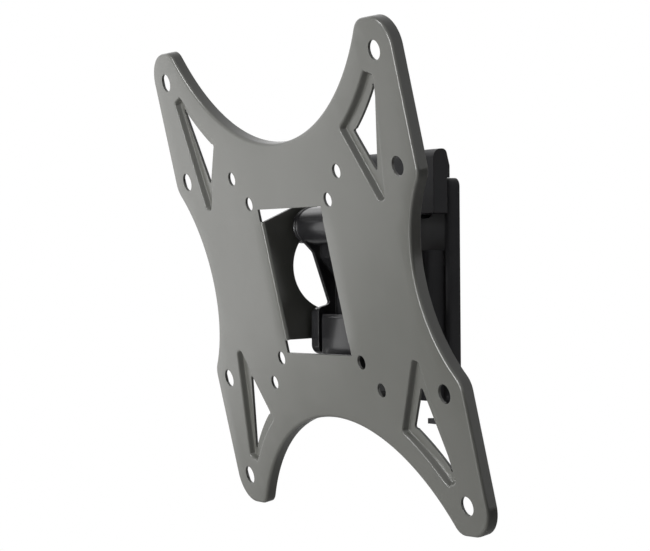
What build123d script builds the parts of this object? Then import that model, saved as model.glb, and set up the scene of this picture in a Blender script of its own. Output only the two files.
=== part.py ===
"""Tilting and swivelling wall mount for a small flat screen.

Frame: origin on the wall, at the centre of the wall plate's hole pattern. +X is right as seen
from the room, the room lies towards -Y, and +Z is up. Millimetres. The screen plate is modelled
where it is set: its top leaning forward by tilt_deg, and square to the wall in plan.
"""

import os
from math import cos, radians, sin, tan

from build123d import *

os.makedirs("parts", exist_ok=True)

# Screen plate: one pressing, with a rim, four triangular recesses and two ears
plate_sheet = 2.0
plate_bow = 1.75
rim_depth = 5.4
rim_bend = 2.6
horn_corner = 14.3
horn_shoulder = 8.0
top_arc_radius = 105.0
top_arc_low = 65.0
side_arc_radius = 64.0
side_arc_low = 95.5
side_shoulder = 10.0

# Screen hole patterns, and the two drill sizes
wide_pattern = 200.0
narrow_pattern = 100.0
small_pattern = 75.0
outer_hole_radius = 4.4
inner_hole_radius = 3.3

# The holes of the wide pattern lie at the centres of the rounded horns
plate_half = wide_pattern / 2 + horn_corner

# Triangular recess and its cut-out, in the upper right quarter of the plate
recess_depth = 1.9
recess_taper = 20.0
recess_arc_gap = 13.7
recess_inner_x = 60.9
recess_horn_x = 88.7
recess_horn_width = 7.1
recess_horn_drop = 3.6
recess_tip_right = (83.6, 37.2)
recess_tip_left = (80.4, 36.4)
recess_horn_round = 3.4
recess_tip_round = 1.5
cutout_arc_gap = 18.5
cutout_inner_x = 67.5
cutout_horn_x = 90.5
cutout_waist = (79.0, 49.3)
cutout_round = 1.2
emboss_grow = 1.0

# Window in the plate, and the ears that its sheet is folded back into
window_half_width = 30.0
window_half_height = 34.7
ear_face = 28.2
ear_root_half = 28.7
ear_tip_half = 34.2
ear_depth = 28.8
ear_corner = 7.9
ear_lobe = 7.9
ear_bite_radius = 21.0
ear_bite_depth = 30.5
ear_bend = 1.7

# Tilt joint
tilt_deg = 13.0
tilt_axis_y = -48.1
tilt_axis_z = 30.5
pivot_depth = 20.9
pivot_up = 21.5
tilt_bolt_radius = 4.0
running_clearance = 0.05
bolt_clearance = 0.2

# Knuckle: one casting, between the ears and round the swivel bolt
barrel_radius = 9.0
barrel_half = 22.5
boss_radius = 7.4
friction_washer = 1.2
cheek_inside = 18.6
cheek_outside = 21.0
lobe_outside = 26.5
lobe_round = 4.5
lobe_top_round = 3.0
lobe_edge = 1.6
cheek_start = (-53.8, 22.9)
cheek_turn = (-49.0, 18.3)
cheek_waist = (-40.4, -6.2)
block_front_y = -45.6
block_half = 17.4
block_top_z = -11.0
lobe_front_y = -47.0
lobe_top_z = -8.0
knuckle_foot_z = -30.0
knuckle_back_y = -34.0
lobe_back_y = -33.0
neck_wall = 3.5
hub_radius = 11.0
barrel_edge = 1.3
hollow_reach = 12.0

# Swivel joint
swivel_axis_y = -28.0
swivel_bolt_radius = 5.0
thrust_washer = 1.5
thrust_washer_radius = 10.5

# Hanging bracket: one folded sheet that carries the swivel bolt in two lugs
bracket_sheet = 2.5
bracket_inset = 3.5
bracket_front_y = -16.0
bracket_top_z = 18.6
bracket_foot_z = -51.0
bracket_bend = 3.0
lug_radius = 13.0
hook_height = 10.0
hook_drop = 4.0
hook_upper_z = 6.0
hook_lower_z = -38.0
hook_clearance = 0.3
foot_drop = 10.0
foot_width = 8.5
foot_front_y = -10.8
lock_screw_inset = 5.0

# Wall plate: a shallow tray with two long pads pressed back to the wall
wall_half_width = 32.0
wall_half_height = 52.0
wall_depth = 6.8
wall_sheet = 2.0
wall_corner = 4.0
wall_bend = 2.6
wall_hole_radius = 3.25
wall_hole_x = 14.0
wall_hole_z = 41.0
pad_half_height = 8.5
pad_taper = 20.0

# The bracket's flanges stand inside the edges of the wall plate, and the feet inside the flanges
bracket_half = wall_half_width - bracket_inset
foot_inner_x = bracket_half - foot_width
lock_screw_x = bracket_half - lock_screw_inset

# Cover over the upper wall screws
cover_front_y = -14.2
cover_foot_z = 35.6
cover_top_z = 65.4
cover_wall = 2.0
cover_front_round = 4.2
cover_back_round = 2.5
cover_heel_y = -5.4
cover_heel_z = 57.6

# Hexagon fasteners: across flats, height
m8_flats = 13.0
m8_head = 5.3
m8_nut = 8.0
m8_collar = 2.0
m8_washer = 1.6
m8_washer_radius = 8.0
m10_flats = 17.0
m10_head = 6.4
m10_nut = 8.0
m10_collar = 2.0
m10_washer = 1.6
m10_washer_radius = 10.0
lock_radius = 2.0
lock_head = 2.4
lock_head_radius = 4.4
lock_head_edge = 0.9
lock_socket_flats = 2.5
lock_tip = 1.0

# Screen plane: its own x is right, y is up the plate, z is out of its front face
lean = radians(tilt_deg)
plate_up = Vector(0, -sin(lean), cos(lean))
plate_out = Vector(0, -cos(lean), -sin(lean))
tilt_axis = Vector(0, tilt_axis_y, tilt_axis_z)
plate_centre = tilt_axis - plate_up * pivot_up + plate_out * pivot_depth
screen_plane = Plane(origin=plate_centre, x_dir=(1, 0, 0), z_dir=plate_out)

bow_reach = wide_pattern / 2
bow_radius = bow_reach**2 / (2 * plate_bow)


def front_at(x):
    """How far the bowed front stands out at a distance x from the middle of the plate."""
    return plate_bow - bow_radius + (bow_radius**2 - x**2) ** 0.5


top_arc_centre = top_arc_low + top_arc_radius
side_arc_centre = side_arc_low + side_arc_radius
wall_skin_y = -wall_depth


def round_corners(sketch, points, radius):
    """Fillet the sketch's vertices that lie at the given points of its own plane."""
    for point in points:
        corner = sketch.vertices().sort_by_distance(Vector(*point))[0]
        fillet(corner, radius)


def below_arc(gap, x):
    """Point at x on the arc that runs at the given gap below the plate's top edge."""
    return (x, top_arc_centre - ((top_arc_radius + gap) ** 2 - x**2) ** 0.5)


def arc_between(gap, start_x, end_x):
    """Arc concentric with the plate's top edge, between two distances from the middle."""
    middle_x = (start_x + end_x) / 2
    return ThreePointArc(below_arc(gap, start_x), below_arc(gap, middle_x), below_arc(gap, end_x))


def recess_outline(grow=0.0):
    """Sketch of one recess in the upper right quarter, grown outwards for the pressed back."""
    inner = below_arc(recess_arc_gap, recess_inner_x)
    horn_left = below_arc(recess_arc_gap, recess_horn_x)
    horn_right = (horn_left[0] + recess_horn_width, horn_left[1] - recess_horn_drop)
    with BuildSketch() as outline:
        with BuildLine():
            arc_between(recess_arc_gap, recess_inner_x, recess_horn_x)
            Polyline(horn_left, horn_right, recess_tip_right, recess_tip_left, inner)
        make_face()
        round_corners(outline, [horn_left, horn_right], recess_horn_round)
        round_corners(outline, [recess_tip_right, recess_tip_left, inner], recess_tip_round)
        if grow:
            offset(amount=grow)
    return outline.sketch


def cutout_outline():
    """Sketch of the cut-out in the floor of one recess."""
    inner = below_arc(cutout_arc_gap, cutout_inner_x)
    horn = below_arc(cutout_arc_gap, cutout_horn_x)
    with BuildSketch() as outline:
        with BuildLine():
            arc_between(cutout_arc_gap, cutout_inner_x, cutout_horn_x)
            Polyline(horn, cutout_waist, inner)
        make_face()
        round_corners(outline, [horn, inner, cutout_waist], cutout_round)
    return outline.sketch


def above_and_below(sketch):
    """The sketch and its mirror images, by side of the plate: 1 is the right, -1 the left."""
    right = [sketch, mirror(sketch, Plane.XZ)]
    return {1: right, -1: [mirror(face, Plane.YZ) for face in right]}


# The recess is cut from a little above the front, and its back is built up from within the sheet
recess_start = 0.5
emboss_start = plate_sheet / 2
recess_slope = tan(radians(recess_taper))
recess_faces = above_and_below(recess_outline(recess_start * recess_slope))
emboss_faces = above_and_below(recess_outline(emboss_grow + emboss_start * recess_slope))
cutout_faces = above_and_below(cutout_outline())

# Screen plate
bow_plane = Plane(origin=plate_centre, x_dir=(1, 0, 0), z_dir=-plate_up)
recess_centre_x = 80.0
recess_turn = recess_centre_x / bow_radius
slab_half = plate_half + 10.0
slab_foot = front_at(slab_half)

def bowed_blank(depth, thickness, inset, bend):
    """Plate blank cut to the outline: its front lies depth behind the plate's own bowed front."""
    foot = slab_foot - depth
    crest = plate_bow - depth
    with BuildPart() as blank:
        with BuildSketch(bow_plane.offset(-slab_half)):
            with BuildLine():
                ThreePointArc((-slab_half, foot), (0, crest), (slab_half, foot))
                Polyline((slab_half, foot), (slab_half, foot - thickness))
                ThreePointArc(
                    (slab_half, foot - thickness),
                    (0, crest - thickness),
                    (-slab_half, foot - thickness),
                )
                Polyline((-slab_half, foot - thickness), (-slab_half, foot))
            make_face()
        extrude(amount=2 * slab_half)
        with BuildSketch(screen_plane.offset(-2 * slab_half)) as outline:
            Rectangle(2 * plate_half, 2 * plate_half)
            with Locations((0, top_arc_centre), (0, -top_arc_centre)):
                Circle(top_arc_radius, mode=Mode.SUBTRACT)
            with Locations((side_arc_centre, 0), (-side_arc_centre, 0)):
                Circle(side_arc_radius, mode=Mode.SUBTRACT)
            shoulder_x = (top_arc_radius**2 - (top_arc_centre - plate_half) ** 2) ** 0.5
            waist_y = (side_arc_radius**2 - (side_arc_centre - plate_half) ** 2) ** 0.5
            signs = [(sx, sy) for sx in (1, -1) for sy in (1, -1)]
            corners = [(sx * plate_half, sy * plate_half) for sx, sy in signs]
            shoulders = [(sx * shoulder_x, sy * plate_half) for sx, sy in signs]
            waists = [(sx * plate_half, sy * waist_y) for sx, sy in signs]
            round_corners(outline, corners, horn_corner)
            round_corners(outline, shoulders, horn_shoulder)
            round_corners(outline, waists, side_shoulder)
            if inset:
                offset(amount=-inset, mode=Mode.REPLACE)
        extrude(amount=4 * slab_half, mode=Mode.INTERSECT)
        skins = blank.faces().sort_by(SortBy.AREA)[-2:].sort_by(Axis(plate_centre, plate_out))
        fillet(skins[-1].edges(), bend)
    return blank.part


plate_blank = bowed_blank(0, rim_depth, 0, rim_bend)
plate_cavity = bowed_blank(plate_sheet, 2 * rim_depth, plate_sheet, rim_bend - plate_sheet)

with BuildPart() as screen_plate:
    add(plate_blank)
    add(plate_cavity, mode=Mode.SUBTRACT)
    # Recesses, pressed through the sheet, with a cut-out in each floor
    for side in (1, -1):
        recess_plane = Plane(
            origin=plate_centre
            + Vector(side * recess_centre_x, 0, 0)
            + plate_out * front_at(recess_centre_x),
            x_dir=Vector(cos(recess_turn), 0, 0) - plate_out * side * sin(recess_turn),
            z_dir=plate_out * cos(recess_turn) + Vector(side * sin(recess_turn), 0, 0),
        )
        in_place = Location((-side * recess_centre_x, 0, 0))
        with BuildSketch(recess_plane.offset(-emboss_start)):
            for face in emboss_faces[side]:
                add(face.moved(in_place))
        extrude(amount=emboss_start - plate_sheet - recess_depth, taper=recess_taper)
        with BuildSketch(recess_plane.offset(recess_start)):
            for face in recess_faces[side]:
                add(face.moved(in_place))
        extrude(amount=-recess_start - recess_depth, taper=recess_taper, mode=Mode.SUBTRACT)
        with BuildSketch(recess_plane.offset(recess_start)):
            for face in cutout_faces[side]:
                add(face.moved(in_place))
        extrude(amount=-2 * rim_depth, mode=Mode.SUBTRACT)
    # Screw holes and the window
    with BuildSketch(screen_plane.offset(rim_depth)):
        with GridLocations(wide_pattern, wide_pattern, 2, 2):
            Circle(outer_hole_radius)
        with GridLocations(wide_pattern, narrow_pattern, 2, 2):
            Circle(outer_hole_radius)
        with GridLocations(narrow_pattern, narrow_pattern, 2, 2):
            Circle(inner_hole_radius)
        with GridLocations(small_pattern, small_pattern, 2, 2):
            Circle(inner_hole_radius)
        Rectangle(2 * window_half_width, 2 * window_half_height)
    extrude(amount=-3 * rim_depth, mode=Mode.SUBTRACT)
    # Ears, folded back from the sides of the window
    ear_centre = Plane(origin=plate_centre, x_dir=-plate_out, z_dir=(1, 0, 0))
    ear_front = front_at(ear_face)
    for side in (1, -1):
        with BuildSketch(ear_centre.offset(side * ear_face)) as ear:
            with BuildLine():
                Polyline(
                    (-ear_front, ear_root_half),
                    (0, ear_root_half),
                    (ear_depth, ear_tip_half),
                    (ear_depth, -ear_tip_half),
                    (0, -ear_root_half),
                    (-ear_front, -ear_root_half),
                    close=True,
                )
            make_face()
            round_corners(ear, [(ear_depth, ear_tip_half), (ear_depth, -ear_tip_half)], ear_corner)
            with Locations((ear_bite_depth, 0)):
                Circle(ear_bite_radius, mode=Mode.SUBTRACT)
            with Locations((pivot_depth, pivot_up)):
                Circle(ear_lobe)
            with Locations((pivot_depth, pivot_up)):
                Circle(tilt_bolt_radius + bolt_clearance, mode=Mode.SUBTRACT)
        extrude(amount=side * plate_sheet)
    ear_folds = (
        screen_plate.edges()
        .filter_by(Axis(plate_centre, plate_up))
        .filter_by(lambda edge: abs(abs(edge.center().X) - ear_face) < 0.01)
        .filter_by(lambda edge: abs((edge.center() - plate_centre).dot(plate_out) - ear_front) < 0.01)
    )
    fillet(ear_folds, ear_bend)
screen_plate.part.label = "screen_plate"
export_step(screen_plate.part, "parts/screen_plate.step")

# Knuckle
hub_foot_z = bracket_foot_z + bracket_sheet + thrust_washer
hub_top_z = bracket_top_z - bracket_sheet - thrust_washer
neck_rear = lug_radius + 1.2
with BuildPart() as knuckle:
    # Side profile: its front edge runs back from the barrel and forward again to the block
    with BuildSketch(Plane.YZ.offset(-cheek_outside)) as profile:
        with BuildLine():
            Polyline(
                (tilt_axis_y, tilt_axis_z),
                cheek_start,
                cheek_turn,
                cheek_waist,
                (lobe_front_y, lobe_top_z),
                (lobe_front_y, knuckle_foot_z),
                (knuckle_back_y, knuckle_foot_z),
                (knuckle_back_y, hub_top_z - 2.0),
                (swivel_axis_y - neck_rear, hub_top_z),
                (swivel_axis_y - neck_rear, tilt_axis_z - 5.0),
                close=True,
            )
        make_face()
        round_corners(profile, [(lobe_front_y, lobe_top_z)], lobe_top_round)
        round_corners(profile, [(lobe_front_y, knuckle_foot_z)], lobe_round)
        round_corners(profile, [cheek_turn], 4.0)
        round_corners(profile, [cheek_waist], 1.5)
    extrude(amount=2 * cheek_outside)
    # Hollow between the two cheeks, open to the front above the block
    hollow_front_y = tilt_axis_y - hollow_reach
    hollow_top_z = tilt_axis_z + hollow_reach
    with BuildSketch(Plane.YZ.offset(-cheek_inside)):
        with BuildLine():
            Polyline(
                (hollow_front_y, hollow_top_z),
                (hollow_front_y, block_top_z),
                (knuckle_back_y - neck_wall, block_top_z),
                (knuckle_back_y - neck_wall, hub_top_z - 9.0),
                (swivel_axis_y - neck_rear - neck_wall, hub_top_z + 1.0),
                (swivel_axis_y - neck_rear - neck_wall, hollow_top_z),
                close=True,
            )
        make_face()
    extrude(amount=2 * cheek_inside, mode=Mode.SUBTRACT)
    # Front of the block, set back a little from the cheeks, with a groove at each side
    block_length = block_front_y - lobe_front_y + 5.0
    with BuildSketch(Plane.XY.offset(knuckle_foot_z - 5.0)):
        with Locations((0, block_front_y - block_length / 2)):
            Rectangle(2 * cheek_inside, block_length)
        groove_half = (cheek_inside - block_half) / 2
        with Locations(
            (block_half + groove_half, block_front_y),
            (-block_half - groove_half, block_front_y),
        ):
            Rectangle(2 * groove_half, 5.0)
    extrude(amount=block_top_z - knuckle_foot_z + 6.0, mode=Mode.SUBTRACT)
    # Side lobes that stand out towards the ears beside the block
    for side in (1, -1):
        with BuildSketch(Plane.YZ.offset(side * (cheek_outside - 1.0))) as lobe:
            with BuildLine():
                Polyline(
                    (lobe_front_y, lobe_top_z),
                    (lobe_front_y, knuckle_foot_z),
                    (lobe_back_y, knuckle_foot_z),
                    (lobe_back_y, lobe_top_z),
                    close=True,
                )
            make_face()
            round_corners(lobe, [(lobe_front_y, lobe_top_z)], lobe_top_round)
            round_corners(lobe, [(lobe_front_y, knuckle_foot_z)], lobe_round)
            round_corners(lobe, [(lobe_back_y, lobe_top_z)], lobe_top_round)
            round_corners(lobe, [(lobe_back_y, knuckle_foot_z)], lobe_top_round)
        extrude(amount=side * (lobe_outside - cheek_outside + 1.0))
    for lobe_side in (knuckle.faces().sort_by(Axis.X)[0], knuckle.faces().sort_by(Axis.X)[-1]):
        fillet(lobe_side.edges(), lobe_edge)
    # Barrel, with a smaller boss at each end
    boss_half = ear_face - friction_washer
    with BuildSketch(Plane.YZ.offset(-barrel_half)):
        with Locations((tilt_axis_y, tilt_axis_z)):
            Circle(barrel_radius)
    extrude(amount=2 * barrel_half)
    barrel_ends = (
        knuckle.edges()
        .filter_by(GeomType.CIRCLE)
        .filter_by(lambda edge: abs(edge.radius - barrel_radius) < 0.01)
        .filter_by(lambda edge: abs(abs(edge.center().X) - barrel_half) < 0.01)
    )
    fillet(barrel_ends, barrel_edge)
    with BuildSketch(Plane.YZ.offset(-boss_half)):
        with Locations((tilt_axis_y, tilt_axis_z)):
            Circle(boss_radius)
    extrude(amount=2 * boss_half)
    # Hub round the swivel bolt
    with BuildSketch(Plane.XY.offset(hub_foot_z)):
        with Locations((0, swivel_axis_y)):
            Circle(hub_radius)
    extrude(amount=hub_top_z - hub_foot_z)
    with BuildSketch(Plane.XY.offset(knuckle_foot_z)):
        with Locations((0, swivel_axis_y - hub_radius / 2)):
            Rectangle(2 * hub_radius - 1.0, hub_radius)
    extrude(amount=hub_top_z - 4.0 - knuckle_foot_z)
    # The two bores
    with BuildSketch(Plane.YZ.offset(-boss_half)):
        with Locations((tilt_axis_y, tilt_axis_z)):
            Circle(tilt_bolt_radius + running_clearance)
    extrude(amount=2 * boss_half, mode=Mode.SUBTRACT)
    with BuildSketch(Plane.XY.offset(hub_foot_z)):
        with Locations((0, swivel_axis_y)):
            Circle(swivel_bolt_radius + running_clearance)
    extrude(amount=hub_top_z - hub_foot_z, mode=Mode.SUBTRACT)
knuckle.part.label = "knuckle"
export_step(knuckle.part, "parts/knuckle.step")

# Hanging bracket
lock_screw_y = (wall_skin_y + wall_sheet) / 2
with BuildPart() as swivel_bracket:
    with BuildSketch(Plane.XY.offset(bracket_foot_z)) as channel:
        with BuildLine():
            Polyline(
                (bracket_half, wall_skin_y),
                (bracket_half, bracket_front_y),
                (-bracket_half, bracket_front_y),
                (-bracket_half, wall_skin_y),
                (-bracket_half + bracket_sheet, wall_skin_y),
                (-bracket_half + bracket_sheet, bracket_front_y + bracket_sheet),
                (bracket_half - bracket_sheet, bracket_front_y + bracket_sheet),
                (bracket_half - bracket_sheet, wall_skin_y),
                close=True,
            )
        make_face()
        outer_bends = [(bracket_half, bracket_front_y), (-bracket_half, bracket_front_y)]
        round_corners(channel, outer_bends, bracket_bend)
    extrude(amount=bracket_top_z - bracket_foot_z)
    # Lugs folded forward from the top and the foot of the front web
    for lug_z in (bracket_foot_z, bracket_top_z - bracket_sheet):
        with BuildSketch(Plane.XY.offset(lug_z)):
            with Locations((0, (swivel_axis_y + bracket_front_y + bracket_sheet) / 2)):
                Rectangle(2 * lug_radius, bracket_front_y + bracket_sheet - swivel_axis_y)
            with Locations((0, swivel_axis_y)):
                Circle(lug_radius)
                Circle(swivel_bolt_radius + running_clearance, mode=Mode.SUBTRACT)
        extrude(amount=bracket_sheet)
    # Side flanges: two hooks each, and a leg with a foot under the wall plate
    leg_foot_z = -wall_half_height - foot_drop
    for side in (1, -1):
        flange_inside = side * (bracket_half - bracket_sheet)
        with BuildSketch(Plane.YZ.offset(flange_inside)):
            for hook_z in (hook_upper_z, hook_lower_z):
                finger_y = wall_skin_y + wall_sheet + hook_clearance
                hook_back_y = -1.4
                with Locations(((wall_skin_y + hook_back_y) / 2, hook_z)):
                    Rectangle(hook_back_y - wall_skin_y, hook_height)
                with Locations(((finger_y + hook_back_y) / 2, hook_z - hook_height / 2 - hook_drop / 2)):
                    Rectangle(hook_back_y - finger_y, hook_drop)
        extrude(amount=side * bracket_sheet)
        with BuildSketch(Plane.YZ.offset(flange_inside)):
            with BuildLine():
                Polyline(
                    (foot_front_y, bracket_foot_z),
                    (foot_front_y, leg_foot_z),
                    (-1.0, leg_foot_z),
                    (-1.0, -wall_half_height - 1.0),
                    (wall_skin_y, -wall_half_height - 1.0),
                    (wall_skin_y, bracket_foot_z),
                    close=True,
                )
            make_face()
        extrude(amount=side * bracket_sheet)
        with BuildSketch(Plane.XY.offset(leg_foot_z)):
            with Locations((side * (foot_inner_x + bracket_half) / 2, (foot_front_y - 1.0) / 2)):
                Rectangle(bracket_half - foot_inner_x, -1.0 - foot_front_y)
            with Locations((side * lock_screw_x, lock_screw_y)):
                Circle(lock_radius + bolt_clearance, mode=Mode.SUBTRACT)
        extrude(amount=bracket_sheet)
swivel_bracket.part.label = "swivel_bracket"
export_step(swivel_bracket.part, "parts/swivel_bracket.step")

# Wall plate
with BuildPart() as wall_plate:
    with BuildSketch(Plane.XZ) as tray:
        RectangleRounded(2 * wall_half_width, 2 * wall_half_height, wall_corner)
    extrude(amount=wall_depth)
    skin = wall_plate.faces().sort_by(Axis.Y)[0]
    fillet(skin.edges(), wall_bend)
    wall_side = wall_plate.faces().sort_by(Axis.Y)[-1]
    offset(amount=-wall_sheet, openings=wall_side)
    # Two long pads pressed back until they touch the wall
    with BuildSketch(Plane.XZ.offset(wall_depth)):
        with Locations((0, wall_hole_z), (0, -wall_hole_z)):
            SlotCenterToCenter(2 * wall_hole_x, 2 * pad_half_height)
    extrude(amount=-wall_depth, taper=pad_taper)
    with BuildSketch(Plane.XZ.offset(wall_depth)):
        with Locations((0, wall_hole_z), (0, -wall_hole_z)):
            SlotCenterToCenter(2 * wall_hole_x, 2 * (pad_half_height - wall_sheet / 2))
    extrude(amount=wall_sheet - wall_depth, taper=pad_taper, mode=Mode.SUBTRACT)
    with BuildSketch(Plane.XZ):
        with GridLocations(wall_hole_x, 2 * wall_hole_z, 3, 2):
            Circle(wall_hole_radius)
        for hook_z in (hook_upper_z, hook_lower_z):
            slot_foot = hook_z - hook_height / 2
            slot_height = hook_height + hook_drop + 2 * hook_clearance
            for side in (1, -1):
                slot_x = side * (bracket_half - bracket_sheet / 2)
                with Locations((slot_x, slot_foot + slot_height / 2)):
                    Rectangle(bracket_sheet + 2 * hook_clearance, slot_height)
    extrude(amount=wall_depth, mode=Mode.SUBTRACT)
    with BuildSketch(Plane.XY.offset(-wall_half_height)):
        with Locations((lock_screw_x, lock_screw_y), (-lock_screw_x, lock_screw_y)):
            Circle(lock_radius)
    extrude(amount=wall_sheet, mode=Mode.SUBTRACT)
wall_plate.part.label = "wall_plate"
export_step(wall_plate.part, "parts/wall_plate.step")

# Cover
cover_shoulder_y = wall_skin_y - 0.6
cover_width = wall_half_width - cover_wall
with BuildPart() as top_cover:
    with BuildSketch(Plane.YZ.offset(-wall_half_width)) as cover_side:
        with BuildLine():
            Polyline(
                (wall_skin_y, cover_foot_z),
                (cover_front_y, cover_foot_z),
                (cover_front_y, cover_top_z),
                (cover_shoulder_y, cover_top_z),
                (cover_heel_y, cover_heel_z),
                (cover_heel_y, wall_half_height),
                (wall_skin_y, wall_half_height),
                close=True,
            )
        make_face()
        round_corners(cover_side, [(cover_front_y, cover_top_z)], cover_front_round)
        round_corners(cover_side, [(cover_shoulder_y, cover_top_z)], cover_back_round)
    extrude(amount=2 * wall_half_width)
    with BuildSketch(Plane.XZ.offset(-cover_heel_y)):
        with Locations((0, (cover_foot_z + cover_top_z) / 2)):
            Rectangle(2 * cover_width, cover_top_z - cover_foot_z - 2 * cover_wall)
    extrude(amount=cover_heel_y - cover_front_y - cover_wall, mode=Mode.SUBTRACT)
    # Two tabs that snap over the wall plate's top flange
    for side in (1, -1):
        with BuildSketch(Plane.YZ.offset(side * 14.0)):
            with BuildLine():
                Polyline(
                    (cover_front_y + 0.5, wall_half_height),
                    (cover_front_y + 0.5, wall_half_height + cover_wall),
                    (-1.0, wall_half_height + cover_wall),
                    (-1.0, wall_half_height),
                    close=True,
                )
            make_face()
        extrude(amount=side * 8.0)
top_cover.part.label = "top_cover"
export_step(top_cover.part, "parts/top_cover.step")


def export_piece(builder, name):
    """Label a finished piece and write it under the same name."""
    builder.part.label = name
    export_step(builder.part, f"parts/{name}.step")


# Swivel bolt, its nut and washers
head_seat_z = bracket_top_z + m10_washer
nut_seat_z = bracket_foot_z - m10_washer
bolt_end_z = nut_seat_z - m10_nut - 0.9
with BuildPart() as swivel_bolt:
    with BuildSketch(Plane.XY.offset(bolt_end_z)):
        with Locations((0, swivel_axis_y)):
            Circle(swivel_bolt_radius)
    extrude(amount=head_seat_z - bolt_end_z)
    with BuildSketch(Plane.XY.offset(head_seat_z)):
        with Locations((0, swivel_axis_y)):
            RegularPolygon(m10_flats / 2, 6, major_radius=False)
    extrude(amount=m10_head)
    chamfer(swivel_bolt.faces().sort_by(Axis.Z)[0].edges(), 0.8)
export_piece(swivel_bolt, "swivel_bolt")

with BuildPart() as swivel_nut:
    with BuildSketch(Plane.XY.offset(nut_seat_z - m10_nut)):
        with Locations((0, swivel_axis_y)):
            Circle(m10_flats / 2)
            Circle(swivel_bolt_radius, mode=Mode.SUBTRACT)
    extrude(amount=m10_collar)
    with BuildSketch(Plane.XY.offset(nut_seat_z - m10_nut + m10_collar)):
        with Locations((0, swivel_axis_y)):
            RegularPolygon(m10_flats / 2, 6, major_radius=False)
            Circle(swivel_bolt_radius, mode=Mode.SUBTRACT)
    extrude(amount=m10_nut - m10_collar)
export_piece(swivel_nut, "swivel_nut")

swivel_washers = {
    "swivel_head_washer": (bracket_top_z, m10_washer, m10_washer_radius),
    "swivel_nut_washer": (nut_seat_z, m10_washer, m10_washer_radius),
    "thrust_washer_top": (hub_top_z, thrust_washer, thrust_washer_radius),
    "thrust_washer_bottom": (hub_foot_z - thrust_washer, thrust_washer, thrust_washer_radius),
}
for name, (foot_z, thickness, radius) in swivel_washers.items():
    with BuildPart() as washer:
        with BuildSketch(Plane.XY.offset(foot_z)):
            with Locations((0, swivel_axis_y)):
                Circle(radius)
                Circle(swivel_bolt_radius + bolt_clearance / 2, mode=Mode.SUBTRACT)
        extrude(amount=thickness)
    export_piece(washer, name)

# Tilt bolt, its nut and washers
ear_outside = ear_face + plate_sheet
tilt_seat = ear_outside + m8_washer
with BuildPart() as tilt_bolt:
    with BuildSketch(Plane.YZ.offset(-tilt_seat)):
        with Locations((tilt_axis_y, tilt_axis_z)):
            Circle(tilt_bolt_radius)
    extrude(amount=2 * tilt_seat + m8_nut + 1.5)
    with BuildSketch(Plane.YZ.offset(-tilt_seat - m8_head)):
        with Locations((tilt_axis_y, tilt_axis_z)):
            RegularPolygon(m8_flats / 2, 6, major_radius=False)
    extrude(amount=m8_head)
    chamfer(tilt_bolt.faces().sort_by(Axis.X)[-1].edges(), 0.7)
export_piece(tilt_bolt, "tilt_bolt")

with BuildPart() as tilt_nut:
    with BuildSketch(Plane.YZ.offset(tilt_seat)):
        with Locations((tilt_axis_y, tilt_axis_z)):
            RegularPolygon(m8_flats / 2, 6, major_radius=False)
            Circle(tilt_bolt_radius, mode=Mode.SUBTRACT)
    extrude(amount=m8_nut - m8_collar)
    with BuildSketch(Plane.YZ.offset(tilt_seat + m8_nut - m8_collar)):
        with Locations((tilt_axis_y, tilt_axis_z)):
            Circle(m8_flats / 2)
            Circle(tilt_bolt_radius, mode=Mode.SUBTRACT)
    extrude(amount=m8_collar)
export_piece(tilt_nut, "tilt_nut")

tilt_washers = {
    "tilt_head_washer": (-tilt_seat, m8_washer, m8_washer_radius),
    "tilt_nut_washer": (ear_outside, m8_washer, m8_washer_radius),
    "friction_washer_left": (-ear_face, friction_washer, boss_radius),
    "friction_washer_right": (boss_half, friction_washer, boss_radius),
}
for name, (left_x, thickness, radius) in tilt_washers.items():
    with BuildPart() as washer:
        with BuildSketch(Plane.YZ.offset(left_x)):
            with Locations((tilt_axis_y, tilt_axis_z)):
                Circle(radius)
                Circle(tilt_bolt_radius + bolt_clearance / 2, mode=Mode.SUBTRACT)
        extrude(amount=thickness)
    export_piece(washer, name)

# Locking screws, from below through the bracket's feet into the wall plate
for name, side in (("lock_screw_left", -1), ("lock_screw_right", 1)):
    with BuildPart() as lock_screw:
        with BuildSketch(Plane.XY.offset(leg_foot_z)):
            with Locations((side * lock_screw_x, lock_screw_y)):
                Circle(lock_radius)
        extrude(amount=foot_drop + wall_sheet + lock_tip)
        with BuildSketch(Plane.XY.offset(leg_foot_z)):
            with Locations((side * lock_screw_x, lock_screw_y)):
                Circle(lock_head_radius)
        extrude(amount=-lock_head)
        chamfer(lock_screw.edges().sort_by(Axis.Z)[0], lock_head_edge)
        with BuildSketch(Plane.XY.offset(leg_foot_z - lock_head)):
            with Locations((side * lock_screw_x, lock_screw_y)):
                RegularPolygon(lock_socket_flats / 2, 6, major_radius=False)
        extrude(amount=1.8, mode=Mode.SUBTRACT)
    export_piece(lock_screw, name)

print("plate centre", tuple(round(v, 3) for v in plate_centre))
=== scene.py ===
# %% [markdown]
# # A tilting wall mount for a small flat screen
#
# The object is a pressed steel plate that carries a screen. Two ears at its window hang it on a
# cast knuckle, the knuckle turns on a bracket, and the bracket hooks into a shallow wall plate.
# The solids come ready made from the CAD frame. This lesson gives them their finishes, presses a
# finer plate, adds the small castings that a camera picks up, and sets the camera, the light and
# the floor.

from math import atan2, cos, degrees, hypot, pi, radians, sin, tan

import bmesh
import bpy
from mathutils import Matrix, Vector
from mathutils.geometry import delaunay_2d_cdt


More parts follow.
